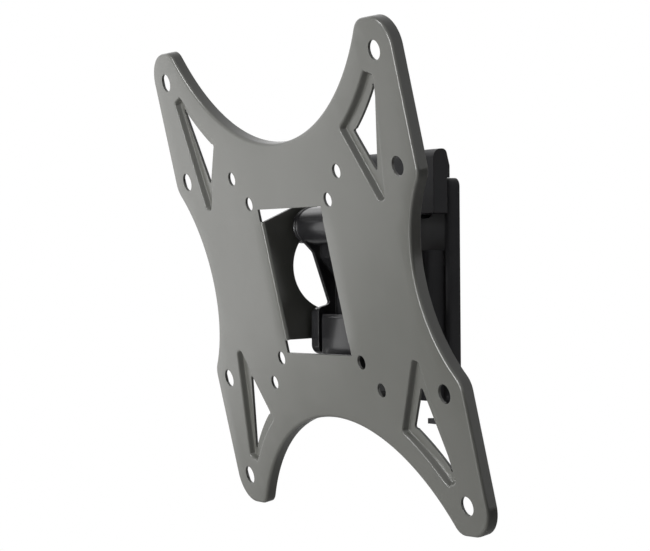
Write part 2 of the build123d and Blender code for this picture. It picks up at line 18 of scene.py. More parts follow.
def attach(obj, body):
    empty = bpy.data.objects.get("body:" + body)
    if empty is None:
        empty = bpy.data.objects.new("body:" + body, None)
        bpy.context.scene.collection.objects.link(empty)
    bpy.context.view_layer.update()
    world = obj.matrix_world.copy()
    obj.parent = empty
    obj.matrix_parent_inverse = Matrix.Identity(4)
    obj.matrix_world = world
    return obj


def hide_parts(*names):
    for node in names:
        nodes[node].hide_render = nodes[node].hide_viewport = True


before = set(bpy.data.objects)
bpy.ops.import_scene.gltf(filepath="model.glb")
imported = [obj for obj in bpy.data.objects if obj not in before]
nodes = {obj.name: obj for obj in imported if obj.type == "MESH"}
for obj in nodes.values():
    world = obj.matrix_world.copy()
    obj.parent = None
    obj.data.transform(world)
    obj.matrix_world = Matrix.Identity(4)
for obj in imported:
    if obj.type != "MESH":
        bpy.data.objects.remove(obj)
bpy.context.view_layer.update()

# %% [markdown]
# Blender counts in metres and the mount was drawn in millimetres, so one factor turns a maker's
# size into a scene size. The lamps stand far away, so their places are written in metres.

# %% One millimetre
MM = 0.001
print("one millimetre is", MM, "in the scene")

# %% [markdown]
# ## The camera
#
# The picture was taken level with the mount, from far to its right, with a long lens. A camera
# can be aimed with a Track To constraint, but here the direction, the small roll and the distance
# are all known, so the three axes of the camera are worked out and written into its matrix.

# %% Camera
camera_place = Vector((992.0, -617.8, 9.76)) * MM
camera_azimuth = radians(60.37)
camera_elevation = radians(0.14)
camera_roll = radians(0.455)
lens_mm = 136.4
sensor_mm = 36.0
picture_width = 650
half_pixel = 0.5 / picture_width

ahead = Vector(
    (
        -sin(camera_azimuth) * cos(camera_elevation),
        cos(camera_azimuth) * cos(camera_elevation),
        -sin(camera_elevation),
    )
)
level_right = ahead.cross(Vector((0, 0, 1))).normalized()
level_down = ahead.cross(level_right)
right = level_right * cos(camera_roll) + level_down * sin(camera_roll)
up = level_right * sin(camera_roll) - level_down * cos(camera_roll)

camera_data = bpy.data.cameras.new("camera")
camera_data.lens = lens_mm
camera_data.sensor_width = sensor_mm
camera_data.clip_end = 50.0
camera_data.shift_x = -half_pixel
camera_data.shift_y = half_pixel
camera = bpy.data.objects.new("camera", camera_data)
bpy.context.scene.collection.objects.link(camera)
camera_axes = Matrix((right, up, -ahead)).transposed().to_4x4()
camera.matrix_world = Matrix.Translation(camera_place) @ camera_axes
bpy.context.scene.camera = camera
bpy.context.scene.view_settings.view_transform = "Standard"
print("camera at", tuple(round(v, 3) for v in camera_place))

# %% [markdown]
# ## Floor
#
# A catalogue picture has a plain white ground. The floor lies well below the mount, out of the
# picture, so it only gives other views something to stand over. One square face is enough for it.

# %% Floor
floor_height = -420.0 * MM
floor_reach = 1500.0 * MM
floor_white = (0.86, 0.86, 0.86, 1)
floor_roughness = 0.7


def plain_sheet(name, reach, height):
    """A square sheet, level, at a height."""
    mesh = bpy.data.meshes.new(name)
    corners = [
        (-reach, -reach, height),
        (reach, -reach, height),
        (reach, reach, height),
        (-reach, reach, height),
    ]
    mesh.from_pydata(corners, [], [(0, 1, 2, 3)])
    square = bpy.data.objects.new(name, mesh)
    bpy.context.scene.collection.objects.link(square)
    return square


floor = plain_sheet("floor", floor_reach, floor_height)
floor_paint = bpy.data.materials.new("floor_paint")
floor_paint.use_nodes = True
floor_shader = floor_paint.node_tree.nodes["Principled BSDF"]
floor_shader.inputs["Base Color"].default_value = floor_white
floor_shader.inputs["Roughness"].default_value = floor_roughness
floor.data.materials.append(floor_paint)
print("floor at", floor_height)

# %% [markdown]
# ## White behind the mount
#
# The world is white to the camera, in reflections and through clear things. To all other rays it is
# nearly black, because white light from all round would wash out the soft shading. A Light Path
# node tells the rays apart, and a mix of two backgrounds answers them.

# %% White background
white_seen = 1.0
room_light = 0.055

world = bpy.data.worlds.new("studio")
bpy.context.scene.world = world
world.use_nodes = True
world_nodes = world.node_tree.nodes
world_links = world.node_tree.links
world_nodes.clear()
path = world_nodes.new("ShaderNodeLightPath")
seen_or_mirrored = world_nodes.new("ShaderNodeMath")
seen_or_mirrored.operation = "MAXIMUM"
seen_or_through = world_nodes.new("ShaderNodeMath")
seen_or_through.operation = "MAXIMUM"
seen = world_nodes.new("ShaderNodeBackground")
seen.inputs["Color"].default_value = (1, 1, 1, 1)
seen.inputs["Strength"].default_value = white_seen
dim = world_nodes.new("ShaderNodeBackground")
dim.inputs["Color"].default_value = (1, 1, 1, 1)
dim.inputs["Strength"].default_value = room_light
choose = world_nodes.new("ShaderNodeMixShader")
world_out = world_nodes.new("ShaderNodeOutputWorld")
world_links.new(path.outputs["Is Camera Ray"], seen_or_mirrored.inputs[0])
world_links.new(path.outputs["Is Glossy Ray"], seen_or_mirrored.inputs[1])
world_links.new(seen_or_mirrored.outputs[0], seen_or_through.inputs[0])
world_links.new(path.outputs["Is Transmission Ray"], seen_or_through.inputs[1])
world_links.new(seen_or_through.outputs[0], choose.inputs["Fac"])
world_links.new(dim.outputs[0], choose.inputs[1])
world_links.new(seen.outputs[0], choose.inputs[2])
world_links.new(choose.outputs[0], world_out.inputs["Surface"])
print("white seen:", white_seen, "room light:", room_light)

# %% [markdown]
# ## Light
#
# The face of the plate is evenly lit, a little lighter towards its left, and its sides are dark. Two
# lamps stand in front: a broad one high up, and a narrow strip where the bends mirror it to the
# camera, so that it also draws the thin bright line along them. A large dim lamp at the left is
# mirrored by the left half of the satin face. A small far lamp marks the top of the barrel. Area
# lamps are used, because their size sets how soft a highlight is.

# %% Lamps
plate_centre = (0, -0.05, 0)
barrel_centre = (0, -0.05, 0.03)


def area_lamp(name, place, aim, width, height, watts):
    """A rectangular lamp at a place, turned to face a point."""
    data = bpy.data.lights.new(name, "AREA")
    data.shape = "RECTANGLE"
    data.size = width
    data.size_y = height
    data.energy = watts
    lamp = bpy.data.objects.new(name, data)
    lamp.location = place
    lamp.rotation_euler = (Vector(aim) - Vector(place)).to_track_quat("-Z", "Y").to_euler()
    bpy.context.scene.collection.objects.link(lamp)
    return lamp


lamps = [
    area_lamp("front_lamp", (-0.35, -1.10, 0.55), plate_centre, width=0.3, height=0.4, watts=4.6),
    area_lamp("bend_lamp", (-0.27, -1.10, -0.12), plate_centre, width=0.1, height=0.5, watts=6.6),
    area_lamp("left_lamp", (-0.98, -0.42, -0.12), plate_centre, width=0.5, height=0.9, watts=0.55),
    area_lamp("barrel_lamp", (-1.05, 0.02, 0.62), barrel_centre, width=0.25, height=0.25, watts=0.1),
]
print("lamps:", [lamp.name for lamp in lamps])

# %% [markdown]
# ## Helpers for finishes
#
# Each finish is a small net of nodes on one shader: a texture for the paint's grain, one for its
# uneven colour, and a bump. A few helpers keep the nets short. All textures read the object's own
# coordinates, which are metres, so a scale is a count of grains per metre.

# %% A finish and its noise
def new_finish(name):
    """An empty finish with its shader, and the place on the object that its textures read."""
    finish = bpy.data.materials.new(name)
    finish.use_nodes = True
    tree = finish.node_tree
    shader = tree.nodes["Principled BSDF"]
    place = tree.nodes.new("ShaderNodeTexCoord").outputs["Object"]
    return finish, tree, shader, place


def grain(tree, place, scale, detail=2.0, rough=0.5):
    """Noise at a scale, as a value round 0.5."""
    noise = tree.nodes.new("ShaderNodeTexNoise")
    noise.inputs["Scale"].default_value = scale
    noise.inputs["Detail"].default_value = detail
    noise.inputs["Roughness"].default_value = rough
    tree.links.new(place, noise.inputs["Vector"])
    return noise.outputs["Fac"]


def stretched(tree, place, along):
    """The same place, squeezed or drawn out along the three axes."""
    mapping = tree.nodes.new("ShaderNodeMapping")
    mapping.inputs["Scale"].default_value = along
    tree.links.new(place, mapping.inputs["Vector"])
    return mapping.outputs["Vector"]


def spread(tree, value, low, high, out_low, out_high):
    """A value from one range moved to another, and held inside it."""
    node = tree.nodes.new("ShaderNodeMapRange")
    node.inputs["From Min"].default_value = low
    node.inputs["From Max"].default_value = high
    node.inputs["To Min"].default_value = out_low
    node.inputs["To Max"].default_value = out_high
    tree.links.new(value, node.inputs["Value"])
    return node.outputs["Result"]


print("noise helpers are ready")

# %% [markdown]
# Paint is never one colour or one gloss all over. Noise from Blender keeps close to its middle, so a
# narrow band round 0.5 is spread out to the whole range from the first value to the second.

# %% Uneven colour and gloss
cloud_low = 0.35
cloud_high = 0.65
gloss_low = 0.3
gloss_high = 0.7


def two_tone(tree, shader, value, first, second):
    """The shader's colour between two, by a value from 0 to 1."""
    ramp = tree.nodes.new("ShaderNodeValToRGB")
    ramp.color_ramp.elements[0].color = (*first, 1)
    ramp.color_ramp.elements[1].color = (*second, 1)
    tree.links.new(value, ramp.inputs["Fac"])
    tree.links.new(ramp.outputs["Color"], shader.inputs["Base Color"])


def cloudy(tree, shader, place, scale, detail, first, second):
    """A slow cloud of one colour in another."""
    cloud = grain(tree, place, scale, detail)
    two_tone(tree, shader, spread(tree, cloud, cloud_low, cloud_high, 0, 1), first, second)


def glossy(tree, shader, place, scale, smoothest, roughest):
    """A roughness that wanders between two values."""
    gloss = spread(tree, grain(tree, place, scale), gloss_low, gloss_high, smoothest, roughest)
    tree.links.new(gloss, shader.inputs["Roughness"])


print("a cloud runs from", cloud_low, "to", cloud_high, "of the noise")

# %% [markdown]
# A coat rounds every corner a little, even where the solid has a sharp one. The Bevel node bends
# the shading there without a change to the mesh, and the bump of the grain lies on top of it.

# %% Grain that can be felt
edge_samples = 6


def soft_edge(tree, radius):
    """Rounded edge normals, so that a paint film shows on every corner."""
    bevel = tree.nodes.new("ShaderNodeBevel")
    bevel.samples = edge_samples
    bevel.inputs["Radius"].default_value = radius
    return bevel.outputs["Normal"]


def raised(tree, shader, value, height, strength, edge_radius):
    """Bump of a real height in metres, over a rounded edge."""
    bump = tree.nodes.new("ShaderNodeBump")
    bump.inputs["Strength"].default_value = strength
    bump.inputs["Distance"].default_value = height
    tree.links.new(value, bump.inputs["Height"])
    tree.links.new(soft_edge(tree, edge_radius), bump.inputs["Normal"])
    tree.links.new(bump.outputs["Normal"], shader.inputs["Normal"])


print("rounded edges take", edge_samples, "samples")

# %% [markdown]
# ## The plate's coat
#
# The screen plate is steel with a baked satin coat in a mid grey, a touch warm. Such a coat has a
# fine orange peel and a faint cloud of lighter and darker grey. Real edges carry less coat, and the
# soft edge lets light run along them.

# %% Satin grey coat
def plate_coat():
    """Baked satin grey on steel sheet."""
    finish, tree, shader, place = new_finish("plate_coat")
    first = (0.124, 0.125, 0.112)
    second = (0.137, 0.138, 0.125)
    cloudy(tree, shader, place, scale=14, detail=3, first=first, second=second)
    glossy(tree, shader, place, scale=60, smoothest=0.2, roughest=0.24)
    shader.inputs["Specular IOR Level"].default_value = 0.6
    peel = grain(tree, place, scale=1500)
    raised(tree, shader, peel, height=0.02 * MM, strength=0.5, edge_radius=0.35 * MM)
    return finish


finishes = {"plate": plate_coat()}
print("made", finishes["plate"].name)

# %% [markdown]
# ## Black on the casting
#
# The knuckle is a die casting under a thick coat with some gloss. A clear coat over a dull black
# gives the deep look of it, and a long weak bump stands for the skin of the casting. Its edges are
# the roundest of all, because a mould cannot have sharp ones.

# %% Glossy black on the casting
def cast_coat():
    """Thick black coat on a die casting."""
    finish, tree, shader, place = new_finish("cast_coat")
    first = (0.013, 0.013, 0.014)
    second = (0.021, 0.021, 0.023)
    cloudy(tree, shader, place, scale=40, detail=3, first=first, second=second)
    glossy(tree, shader, place, scale=60, smoothest=0.22, roughest=0.27)
    shader.inputs["Specular IOR Level"].default_value = 0.3
    shader.inputs["Coat Weight"].default_value = 0.25
    shader.inputs["Coat Roughness"].default_value = 0.12
    skin = grain(tree, place, scale=300)
    raised(tree, shader, skin, height=0.006 * MM, strength=0.4, edge_radius=0.9 * MM)
    return finish


finishes["casting"] = cast_coat()
print("made", finishes["casting"].name)

# %% [markdown]
# ## Black on the folded sheets
#
# The bracket and the wall plate have a thinner powder coat. It is duller than the casting's, a
# little greyer, and its grain can be felt, so it gets a rougher surface and a deeper, finer bump.

# %% Powder black on the folded sheets
def black_coat():
    """Powder coat on folded sheet."""
    finish, tree, shader, place = new_finish("black_coat")
    first = (0.040, 0.040, 0.043)
    second = (0.052, 0.052, 0.056)
    cloudy(tree, shader, place, scale=30, detail=3, first=first, second=second)
    glossy(tree, shader, place, scale=90, smoothest=0.42, roughest=0.55)
    shader.inputs["Specular IOR Level"].default_value = 0.15
    powder = grain(tree, place, scale=1100)
    raised(tree, shader, powder, height=0.04 * MM, strength=0.6, edge_radius=0.4 * MM)
    return finish


finishes["sheet"] = black_coat()
print("made", finishes["sheet"].name)

# %% [markdown]
# ## The moulded cover
#
# The cover is moulded plastic. Its mould has a fine spark texture, so the grain is fine and very
# even, and the sheen over it is soft.

# %% Moulded cover
def cover_plastic():
    """Black plastic with a spark texture."""
    finish, tree, shader, place = new_finish("cover_plastic")
    first = (0.014, 0.014, 0.016)
    second = (0.020, 0.020, 0.023)
    cloudy(tree, shader, place, scale=25, detail=2, first=first, second=second)
    glossy(tree, shader, place, scale=120, smoothest=0.34, roughest=0.44)
    shader.inputs["Specular IOR Level"].default_value = 0.2
    spark = grain(tree, place, scale=2200)
    raised(tree, shader, spark, height=0.015 * MM, strength=0.5, edge_radius=0.5 * MM)
    return finish


finishes["cover"] = cover_plastic()
print("made", finishes["cover"].name)

# %% [markdown]
# ## Fasteners
#
# Bolts, nuts and steel washers are blackened. Turning leaves fine rings on them, so one noise is
# stretched. The black rubs off where a spanner bites, so another noise lifts a few lighter specks:
# only its highest values count, and they are a lighter grey.

# %% Blackened steel
worn_low = 0.58
worn_high = 0.72
ring_stretch = (1.0, 0.15, 1.0)


def black_steel():
    """Blackened and faintly turned steel."""
    finish, tree, shader, place = new_finish("black_steel")
    specks = grain(tree, place, scale=260, detail=4, rough=0.65)
    worn = spread(tree, specks, worn_low, worn_high, 0, 1)
    two_tone(tree, shader, worn, first=(0.022, 0.022, 0.024), second=(0.10, 0.10, 0.105))
    glossy(tree, shader, place, scale=400, smoothest=0.32, roughest=0.46)
    shader.inputs["Metallic"].default_value = 0.8
    rings = grain(tree, stretched(tree, place, ring_stretch), scale=2600)
    raised(tree, shader, rings, height=0.012 * MM, strength=0.5, edge_radius=0.25 * MM)
    return finish


finishes["steel"] = black_steel()
print("made", finishes["steel"].name)

# %% [markdown]
# ## Nylon washers
#
# The washers that take the rubbing are black nylon, which is dull and slightly waxy. A little light
# scattered below the surface gives the wax.

# %% Nylon washers
def washer_nylon():
    """Dull black nylon."""
    finish, tree, shader, place = new_finish("washer_nylon")
    first = (0.020, 0.020, 0.020)
    second = (0.032, 0.032, 0.032)
    cloudy(tree, shader, place, scale=200, detail=2, first=first, second=second)
    glossy(tree, shader, place, scale=300, smoothest=0.5, roughest=0.6)
    shader.inputs["Subsurface Weight"].default_value = 0.05
    skin = grain(tree, place, scale=900)
    raised(tree, shader, skin, height=0.01 * MM, strength=0.5, edge_radius=0.2 * MM)
    return finish


finishes["nylon"] = washer_nylon()
print("made", finishes["nylon"].name)

# %% [markdown]
# ## Dress the solids
#
# The solids of the frame were drawn with their real bends and rounds, so they need only paint. One
# table says which finish goes on which piece. All the fasteners share one finish, so the table
# leaves them out.

# %% Finishes on the solids
worn_by = {
    "screen_plate": "plate",
    "knuckle": "casting",
    "swivel_bracket": "sheet",
    "wall_plate": "sheet",
    "top_cover": "cover",
    "thrust_washer_top": "nylon",
    "thrust_washer_bottom": "nylon",
    "friction_washer_left": "nylon",
    "friction_washer_right": "nylon",
}

for name, solid in nodes.items():
    solid.data.materials.clear()
    solid.data.materials.append(finishes[worn_by.get(name, "steel")])
print("dressed", len(nodes), "solids")

# %% [markdown]
# ## The pressed plate
#
# The plate is thin sheet, so light catches its bends and its cut edges in lines a millimetre wide.
# It is built here as a sheet maker would think of it: one flat outline, one height for each point of
# it, a rim folded back round the edge and an ear folded back at each side of the window. Every
# size is in millimetres, in the plate's own directions: x to the right, y up the plate and z out of
# its front.

# %% Sizes of the plate
lean = radians(13.0)
plate_up = Vector((0, -sin(lean), cos(lean)))
plate_out = Vector((0, -cos(lean), -sin(lean)))
plate_middle = Vector((0, -63.628, 4.850))
plate_half = 114.3
sheet = 1.2
bow = 1.75
bow_radius = 100.0**2 / (2 * bow)
rim_bend = 1.6
rim_depth = 5.4
bend_parts = 6
window_x = 30.0
window_y = 34.7
ear_root = 28.7
root_parts = 24
print("the plate bows by", bow, "mm over a radius of", round(bow_radius), "mm")

# %% [markdown]
# An outline is a closed list of points. Each curved stretch is an arc with a centre, so its points
# and their outward directions are known exactly, and an inner copy of the outline at the start of
# the bend is the same arcs with another radius. A Bezier curve could draw it too, but its points
# would not lie where the rim needs them.

# %% Arcs and closed lists
shortest_step = 0.05


def arc_points(centre, radius, start, end, step=2.0):
    """Points on an arc, by bearings in degrees, about one for every step of its length."""
    count = max(3, round(abs(radians(end - start)) * radius / step))
    bearings = [radians(start + (end - start) * i / count) for i in range(count + 1)]
    return [(centre[0] + radius * cos(a), centre[1] + radius * sin(a)) for a in bearings]


def ring(centre, radius, count=28):
    """A round hole."""
    bearings = [2 * pi * i / count for i in range(count)]
    return [(centre[0] + radius * cos(a), centre[1] + radius * sin(a)) for a in bearings]


def apart(first, second):
    """The distance between two points."""
    return hypot(first[0] - second[0], first[1] - second[1])


def without_repeats(points):
    """The closed list without points that lie on the one before."""
    kept = [points[0]]
    for point in points[1:]:
        if apart(point, kept[-1]) > shortest_step:
            kept.append(point)
    if apart(kept[0], kept[-1]) < shortest_step:
        kept.pop()
    return kept


print("points on a screw hole:", len(ring((0, 0), 3.3)))

# %% [markdown]
# The outline is the same in all four quarters. It runs from the waist at the side, round a small
# outward corner, up the straight side of the horn, round its tip, and back down the large arc of
# the top. The waist and the top are arcs that bite into the square.

# %% Outline of the plate
top_arc_y = 170.0
top_arc_radius = 105.0
side_arc_x = 159.5
side_arc_radius = 64.0
horn_round = 14.3
shoulder_round = 8.0
waist_round = 10.0
side_parts = 10


def quarter_outline(inset):
    """The upper right quarter, from the middle of the side to the middle of the top."""
    waist_x = plate_half - waist_round
    waist_y = ((side_arc_radius + waist_round) ** 2 - (side_arc_x - waist_x) ** 2) ** 0.5
    waist_turn = degrees(atan2(waist_y, waist_x - side_arc_x))
    shoulder_y = plate_half - shoulder_round
    shoulder_x = ((top_arc_radius + shoulder_round) ** 2 - (top_arc_y - shoulder_y) ** 2) ** 0.5
    shoulder_turn = degrees(atan2(shoulder_y - top_arc_y, shoulder_x))
    horn = plate_half - horn_round
    side_steps = [waist_y + (horn - waist_y) * i / side_parts for i in range(1, side_parts)]
    points = arc_points((side_arc_x, 0), side_arc_radius + inset, 180, waist_turn)
    points += arc_points((waist_x, waist_y), waist_round - inset, waist_turn - 180, 0, 1.0)
    points += [(plate_half - inset, y) for y in side_steps]
    points += arc_points((horn, horn), horn_round - inset, 0, 90, 1.0)
    shoulder = (shoulder_x, shoulder_y)
    points += arc_points(shoulder, shoulder_round - inset, 90, 180 + shoulder_turn, 1.0)
    points += arc_points((0, top_arc_y), top_arc_radius + inset, shoulder_turn, -90)
    return points


def full_outline(inset):
    """The whole outline, counter-clockwise, from its upper right quarter."""
    quarter = quarter_outline(inset)
    left = [(-x, y) for x, y in reversed(quarter)]
    lower = [(-x, -y) for x, y in quarter] + [(-x, -y) for x, y in left]
    return without_repeats(quarter + left + lower)


inner_outline = full_outline(rim_bend)
print("points round the plate:", len(inner_outline))

# %% [markdown]
# A recess and its cut-out are polygons with one curved side that runs beside the plate's top edge.
# Their corners are rounded, and the acute ones only a little, because a large round would eat far
# into an acute corner.

# %% Corners of a pressed shape
almost_straight = radians(176)
side_curve_parts = 16


def below_arc(gap, x):
    """A point at x, a gap below the plate's top edge."""
    return (x, top_arc_y - ((top_arc_radius + gap) ** 2 - x**2) ** 0.5)


def with_arc(gap, start_x, end_x, rest, start_round, end_round):
    """Corners of a shape whose first side is an arc beside the plate's top edge."""
    between = [i / side_curve_parts for i in range(1, side_curve_parts)]
    curve = [below_arc(gap, start_x + (end_x - start_x) * part) + (0,) for part in between]
    first = below_arc(gap, start_x) + (start_round,)
    last = below_arc(gap, end_x) + (end_round,)
    return [first] + curve + [last] + rest


def rounded(corners, step=0.8):
    """A closed outline from corners given as x, y and radius."""
    points = []
    for i, (x, y, radius) in enumerate(corners):
        here = Vector((x, y))
        before = (Vector(corners[i - 1][:2]) - here).normalized()
        after = (Vector(corners[(i + 1) % len(corners)][:2]) - here).normalized()
        opening = before.angle(after)
        if radius == 0 or opening > almost_straight:
            points.append((x, y))
            continue
        middle = (before + after).normalized()
        centre = here + middle * (radius / sin(opening / 2))
        start = here + before * (radius / tan(opening / 2)) - centre
        end = here + after * (radius / tan(opening / 2)) - centre
        count = max(3, round((pi - opening) * radius / step))
        for k in range(count + 1):
            spoke = start.slerp(end, k / count)
            points.append(tuple(centre + spoke))
    return without_repeats(points)


print("the curved side has", side_curve_parts, "parts")

# %% [markdown]
# Each shape is drawn once, for the upper right horn, as corners of x, y and radius. The other three
# are mirror images. A ring that lies a little outside or inside the recess is the same loop with
# every point moved square to the loop, midway between the directions of its two sides.

# %% Recess and cut-out
recess_corners = with_arc(
    gap=13.4,
    start_x=60.9,
    end_x=90.2,
    rest=[(96.3, 90.0, 3.0), (83.8, 37.0, 1.0), (80.4, 36.2, 1.0)],
    start_round=1.0,
    end_round=3.2,
)
cutout_corners = with_arc(
    gap=18.5,
    start_x=67.5,
    end_x=90.6,
    rest=[(79.0, 49.0, 0.3)],
    start_round=0.5,
    end_round=0.3,
)
recess_loop = rounded(recess_corners)
cutout_loop = rounded(cutout_corners)
ring_amounts = (2.3, 1.7, 1.4, 1.2, 1.0, 0.8, 0.6, 0.3, 0.0, -0.25, -0.5, -0.8)
least_share = 0.6


def grown(loop, amount):
    """A closed outline moved outwards, or inwards by a negative amount."""
    turn = sum(a[0] * b[1] - b[0] * a[1] for a, b in zip(loop, loop[1:] + loop[:1]))
    side = 1 if turn > 0 else -1
    moved = []
    for i, point in enumerate(loop):
        before = Vector(point) - Vector(loop[i - 1])
        after = Vector(loop[(i + 1) % len(loop)]) - Vector(point)
        first = Vector((before.y, -before.x)).normalized() * side
        second = Vector((after.y, -after.x)).normalized() * side
        both = (first + second).normalized()
        moved.append(tuple(Vector(point) + both * (amount / max(least_share, both.dot(first)))))
    return moved


def quarters(loop):
    """One loop in each quarter of the plate."""
    return [[(sx * x, sy * y) for x, y in loop] for sx in (1, -1) for sy in (1, -1)]


recess_rings = []
for amount in ring_amounts:
    recess_rings += quarters(grown(recess_loop, amount))
print("recess points:", len(recess_loop), "cut-out points:", len(cutout_loop))

# %% [markdown]
# The height of the front is the bow plus the recess. A press cannot make a sharp step, so the
# recess falls along a smooth curve that starts outside its outline and ends just inside it. The
# power makes the outer bend rounder than the inner one, as in pressed sheet.

# %% Height of the front
recess_depth = 2.6
wall_start = -1.6
wall_end = 0.3
wall_power = 1.5
recess_from = (55, 32)
recess_to = (100, 96)


def distance_inside(loop, x, y):
    """How far a point lies inside a closed outline, and below nothing when it is outside."""
    nearest = float("inf")
    inside = False
    for (ax, ay), (bx, by) in zip(loop, loop[1:] + loop[:1]):
        dx = bx - ax
        dy = by - ay
        along = min(1.0, max(0.0, ((x - ax) * dx + (y - ay) * dy) / (dx * dx + dy * dy)))
        nearest = min(nearest, hypot(x - ax - dx * along, y - ay - dy * along))
        if (ay > y) != (by > y) and x < ax + dx * (y - ay) / dy:
            inside = not inside
    return nearest if inside else -nearest


def front_height(x, y):
    """Height of the front at a point of the plate."""
    height = bow - bow_radius + (bow_radius**2 - x * x) ** 0.5
    beside = recess_from[0] < abs(x) < recess_to[0]
    if beside and recess_from[1] < abs(y) < recess_to[1]:
        inside = distance_inside(recess_loop, abs(x), abs(y))
        share = (inside - wall_start) / (wall_end - wall_start)
        share = min(1.0, max(0.0, share)) ** wall_power
        height -= recess_depth * share * share * (3 - 2 * share)
    return height


print("height in a recess:", round(front_height(88, 80), 2))

# %% [markdown]
# The plate has the standard hole grids of flat screens. Their spacings are 75, 100 and 200 mm, so
# the holes lie at half of these from the middle. The window is a plain rectangle, with extra
# points along its two sides where the ears are folded back.

# %% Holes and window
wide_radius = 4.4
small_radius = 3.3
holes = [(x, y, wide_radius) for x in (-100, 100) for y in (-100, -50, 50, 100)]
holes += [(x, y, small_radius) for x in (-50, 50) for y in (-50, 50)]
holes += [(x, y, small_radius) for x in (-37.5, 37.5) for y in (-37.5, 37.5)]
root_steps = [ear_root * (1 - 2 * i / root_parts) for i in range(root_parts + 1)]
right_side = [(window_x, y) for y in [window_y] + root_steps + [-window_y]]
left_side = [(-x, -y) for x, y in right_side]
window_loop = right_side + left_side
print("holes:", len(holes), "points round the window:", len(window_loop))

# %% [markdown]
# Blender's constrained triangulation fills an outline and keeps every given edge. Rings of points
# across the recess walls make them smooth, and a coarse grid keeps the large flat parts even. The
# triangulation knows nothing of holes, so each triangle is kept only if its middle is on the sheet.

# %% Fill the face
grid_step = 8.0
grid_reach = 14
margin = 3
whole_result = 0
same_point = 1e-4


def fill(loops, dots, keep):
    """Triangles over closed loops and loose dots, where keep says that a middle point stays."""
    points = []
    edges = []
    for loop in loops:
        first = len(points)
        points += loop
        edges += [(first + i, first + (i + 1) % len(loop)) for i in range(len(loop))]
    points += dots
    flat = [Vector(p) for p in points]
    result = delaunay_2d_cdt(flat, edges, [], whole_result, same_point, False)
    found = result[0]
    triangles = result[2]
    kept = []
    for triangle in triangles:
        x = sum(found[i].x for i in triangle) / 3
        y = sum(found[i].y for i in triangle) / 3
        if keep(x, y):
            kept.append(list(triangle))
    return [(p.x, p.y) for p in found], kept


def on_sheet(x, y, clear=0):
    """True on the plate's face, clear of its holes, its window and its edge."""
    if any(hypot(x - hx, y - hy) < radius + clear for hx, hy, radius in holes):
        return False
    if abs(x) < window_x + clear and abs(y) < window_y + clear:
        return False
    return distance_inside(inner_outline, x, y) > clear


def on_face(x, y):
    """True on the face and outside the cut-outs."""
    return on_sheet(x, y) and distance_inside(cutout_loop, abs(x), abs(y)) <= 0


def open_ground(x, y):
    """True well away from every loop, where a grid dot can lie."""
    return on_sheet(x, y, margin) and distance_inside(recess_loop, abs(x), abs(y)) <= -margin


grid_lines = [grid_step * i for i in range(-grid_reach, grid_reach + 1)]
dots = [(x, y) for x in grid_lines for y in grid_lines if open_ground(x, y)]
face_loops = [inner_outline, window_loop] + quarters(cutout_loop) + recess_rings
face_loops += [ring((x, y), radius) for x, y, radius in holes]
flat_points, flat_faces = fill(face_loops, dots, on_face)
print("face of the plate:", len(flat_points), "points", len(flat_faces), "triangles")

# %% [markdown]
# The sheet is kept as points, the direction that each faces, and the thickness behind each. Faces
# are lists of point numbers. The front comes first, and each of its points is lifted to its height.

# %% Front of the sheet
points = []
facing = []
thick = []


def add_point(x, y, z, nx, ny, nz, thickness):
    """A point of the sheet, by its place, the way it faces and the sheet behind it."""
    points.append(Vector((x, y, z)))
    facing.append(Vector((nx, ny, nz)))
    thick.append(thickness)
    return len(points) - 1


face_index = [add_point(x, y, front_height(x, y), 0, 0, 1, sheet) for x, y in flat_points]
sheet_faces = [[face_index[i] for i in face] for face in flat_faces]
decimals = 2


def place_key(x, y):
    """A place rounded to a hundredth of a millimetre."""
    return (round(x, decimals), round(y, decimals))


at_place = {place_key(x, y): i for (x, y), i in zip(flat_points, face_index)}


def nearest_index(x, y):
    """Number of the front's point at a place."""
    key = place_key(x, y)
    if key in at_place:
        return at_place[key]
    return min(face_index, key=lambda i: hypot(points[i].x - x, points[i].y - y))


def join_rows(rows, closed):
    """Four-sided faces between neighbouring rows of point numbers."""
    for upper, lower in zip(rows, rows[1:]):
        for i in range(len(upper) if closed else len(upper) - 1):
            j = (i + 1) % len(upper)
            sheet_faces.append([upper[i], upper[j], lower[j], lower[i]])


print("front of the sheet:", len(points), "points")

# %% [markdown]
# The rim is bent back all round the edge, so rows of points roll over a quarter turn and then run
# straight back. Each point of the edge knows the way out of the plate there, square to the line
# between its neighbours. Such a rim could be extruded by a modifier, but rows keep the bend round.

# %% Rim
rim_rows = [[nearest_index(x, y) for x, y in inner_outline]]
ways_out = []
for i in range(len(inner_outline)):
    behind = Vector(inner_outline[i - 1])
    before = Vector(inner_outline[(i + 1) % len(inner_outline)])
    along = (before - behind).normalized()
    ways_out.append((along.y, -along.x))

for k in range(1, bend_parts + 2):
    turn = min(k, bend_parts) / bend_parts * pi / 2
    out = rim_bend * sin(turn)
    fall = rim_bend * (1 - cos(turn)) if k <= bend_parts else rim_depth
    row = []
    for (x, y), (ox, oy) in zip(inner_outline, ways_out):
        z = front_height(x, y) - fall
        way = (ox * sin(turn), oy * sin(turn), cos(turn))
        row.append(add_point(x + ox * out, y + oy * out, z, *way, sheet))
    rim_rows.append(row)

join_rows(rim_rows, closed=True)
print("rim rows:", len(rim_rows), "of", len(ways_out), "points")

# %% [markdown]
# An ear is flat, so its outline is drawn by how deep it lies behind the front and how far up the
# plate. It widens from its root to two round tips, and a large round bite between the tips shows
# the knuckle. The tilt bolt goes through a hole in the upper tip.

# %% Outline of an ear
ear_x = 28.2
ear_sheet = 2.0
ear_deep = 28.8
ear_flare = 5.5
tip_deep = 20.9
tip_y = 21.5
tip_round = 7.9
bolt_hole = 4.2
bite_deep = 30.5
bite_round = 21.0
bite_from = 133.4
bite_to = 265.4
tip_to_bite = -127.7
fine_step = 0.8

